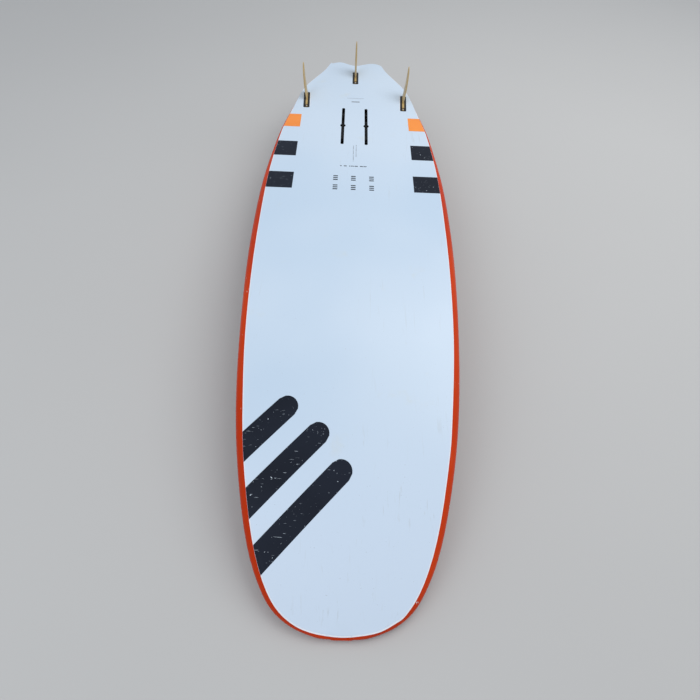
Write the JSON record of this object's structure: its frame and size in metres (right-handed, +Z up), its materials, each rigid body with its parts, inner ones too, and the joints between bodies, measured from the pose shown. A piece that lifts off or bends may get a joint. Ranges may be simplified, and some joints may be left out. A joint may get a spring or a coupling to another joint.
{
  "type": "windsurf board",
  "caption": "Compact windsurf board lying bottom up, with a swallow-tail sandwich hull, orange rails, foil and mast tracks, fins in boxes, deck pads and padded footstraps.",
  "frame": {"origin": "on the ground, under the centre of the board's box, with the board bottom up on its nose and front footstraps", "axes": "+Z up, out of the board's bottom; +Y aft, from nose to tail; +X towards the rail that is on the right when looking aft at the bottom"},
  "size_m": [0.64, 2.2502, 0.3226],
  "materials": {
    "bottom_paint": "gloss",
    "deck_paint": "gloss",
    "core_foam": "matte",
    "dense_foam": "matte",
    "track_plastic": "satin",
    "dark_nut": "satin",
    "stainless": "satin",
    "fin_laminate": "gloss",
    "strap_cloth": "matte",
    "strap_padding": "matte",
    "pad_foam": "matte",
    "washer_plastic": "satin",
    "plug_plastic": "satin",
    "vent_metal": "satin",
    "seal_rubber": "satin"
  },
  "bodies": {
    "board": {"foam_core": "core_foam", "bottom_skin": "bottom_paint", "deck_skin": "deck_paint", "foil_track_block": "dense_foam", "mast_track_block": "dense_foam", "left_foil_track": "track_plastic", "right_foil_track": "track_plastic", "mast_track": "track_plastic", "vent_housing": "plug_plastic", "left_fin_box": "track_plastic", "right_fin_box": "track_plastic", "center_fin_box": "track_plastic", "front_left_pad": "pad_foam", "front_left_strap_webbing": "strap_cloth", "front_left_strap_cover": "strap_padding", "front_left_strap_screws": "stainless", "front_left_strap_washers": "washer_plastic", "front_left_strap_plugs": "plug_plastic", "front_right_pad": "pad_foam", "front_right_strap_webbing": "strap_cloth", "front_right_strap_cover": "strap_padding", "front_right_strap_screws": "stainless", "front_right_strap_washers": "washer_plastic", "front_right_strap_plugs": "plug_plastic", "rear_pad": "pad_foam", "rear_strap_webbing": "strap_cloth", "rear_strap_cover": "strap_padding", "rear_strap_screws": "stainless", "rear_strap_washers": "washer_plastic", "rear_strap_plugs": "plug_plastic"},
    "left_fin_set": {"left_fin": "fin_laminate", "left_fin_screw": "stainless", "left_fin_nut": "stainless", "left_fin_pin": "stainless"},
    "right_fin_set": {"right_fin": "fin_laminate", "right_fin_screw": "stainless", "right_fin_nut": "stainless", "right_fin_pin": "stainless"},
    "center_fin_set": {"center_fin": "fin_laminate", "center_fin_screw": "stainless", "center_fin_nut": "stainless", "center_fin_pin": "stainless"},
    "front_left_nut": {"front_left_foil_nut": "dark_nut"},
    "front_right_nut": {"front_right_foil_nut": "dark_nut"},
    "rear_left_nut": {"rear_left_foil_nut": "dark_nut"},
    "rear_right_nut": {"rear_right_foil_nut": "dark_nut"},
    "vent_seal_ring": {"vent_seal": "seal_rubber"},
    "vent_plug": {"vent_screw": "vent_metal"}
  },
  "joints": [
    {"name": "left_fin_slide", "type": "slide", "parent": "board", "child": "left_fin_set", "axis": [-0.0436, 0.9989, -0.0152], "range_m": [-0.005, 0.009]},
    {"name": "right_fin_slide", "type": "slide", "parent": "board", "child": "right_fin_set", "axis": [0.0436, 0.9989, -0.0152], "range_m": [-0.005, 0.009]},
    {"name": "center_fin_slide", "type": "slide", "parent": "board", "child": "center_fin_set", "axis": [0, 0.9994, -0.0345], "range_m": [-0.005, 0.009]},
    {"name": "front_left_nut_slide", "type": "slide", "parent": "board", "child": "front_left_nut", "axis": [0, 1, 0], "range_m": [-0.03, 0.03]},
    {"name": "front_right_nut_slide", "type": "slide", "parent": "board", "child": "front_right_nut", "axis": [0, 1, 0], "range_m": [-0.03, 0.03]},
    {"name": "rear_left_nut_slide", "type": "slide", "parent": "board", "child": "rear_left_nut", "axis": [0, 1, 0], "range_m": [-0.03, 0.03]},
    {"name": "rear_right_nut_slide", "type": "slide", "parent": "board", "child": "rear_right_nut", "axis": [0, 1, 0], "range_m": [-0.03, 0.03]},
    {"name": "vent_lift", "type": "slide", "parent": "board", "child": "vent_seal_ring", "axis": [0, 0.0362, -0.9993], "range_m": [0, 0.006]},
    {"name": "vent_turn", "type": "hinge", "parent": "vent_seal_ring", "child": "vent_plug", "pos_m": [0, -0.365, 0.09788], "axis": [0, 0.0362, -0.9993], "range_deg": [0, 1081]}
  ],
  "couplings": [
    {"joint": "vent_turn", "follows": "vent_lift", "rad_per_m": 3141.6}
  ]
}
